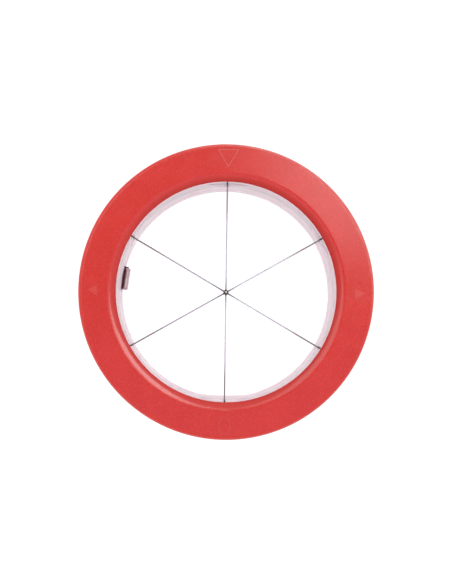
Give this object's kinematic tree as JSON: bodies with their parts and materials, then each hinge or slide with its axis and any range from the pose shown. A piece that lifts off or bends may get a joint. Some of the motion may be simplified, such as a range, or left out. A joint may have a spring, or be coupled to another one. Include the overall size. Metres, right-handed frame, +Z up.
{
  "type": "tomato wedger",
  "caption": "Round push-through tomato wedger: red grip ring with radial blades meeting at a small hub, turn-locked onto a milky clear sleeve stand and held by a sprung steel catch.",
  "frame": {"origin": "centre of the foot ring on the plane the wedger stands on", "axes": "+Z up along the mouth, out of the blades; +Y towards the large outlined triangle on the ring; +X to the right seen from above"},
  "size_m": [0.12, 0.12, 0.056],
  "materials": {
    "ring_red": "semi-gloss moulded red with fine grain",
    "collar_red": "moulded red, fine grain",
    "milky_plastic": "milky clear moulded plastic",
    "clear_plastic": "clear moulded plastic, slightly hazy",
    "soft_clear": "translucent soft plastic",
    "soft_maroon": "dark red soft plastic",
    "blade_steel": "brushed, ground edge",
    "polished_steel": "polished",
    "sheet_steel": "bright rolled sheet",
    "pin_steel": "ground",
    "screw_steel": "bright",
    "spring_steel": "drawn wire",
    "insert_brass": "turned"
  },
  "bodies": {
    "stand": {"sleeve": "clear_plastic", "rim_gasket": "soft_clear", "foot_ring": "soft_clear", "catch_pin": "pin_steel", "catch_spring": "spring_steel"},
    "cutting_ring": {"grip_ring": "ring_red", "lock_collar": "collar_red", "blade_carrier": "milky_plastic", "blade_1": "blade_steel", "blade_2": "blade_steel", "blade_3": "blade_steel", "blade_4": "blade_steel", "blade_5": "blade_steel", "blade_6": "blade_steel", "hub": "polished_steel", "blade_anchor_pins": "pin_steel", "thread_inserts": "insert_brass", "clamp_screws": "screw_steel"},
    "catch": {"catch_lever": "sheet_steel", "tab_bumper": "soft_maroon"}
  },
  "joints": [
    {"name": "ring_turn", "type": "hinge", "parent": "stand", "child": "cutting_ring", "pos_m": [0, 0, 0.03], "axis": [0, 0, 1], "range_deg": [0, 20]},
    {"name": "catch_press", "type": "hinge", "parent": "stand", "child": "catch", "pos_m": [-0.05053, 0.00692, 0.014], "axis": [0.1357, 0.9907, 0], "range_deg": [0, 6.5], "stiffness_Nm_per_rad": 0.12, "springref_deg": -11.46}
  ]
}
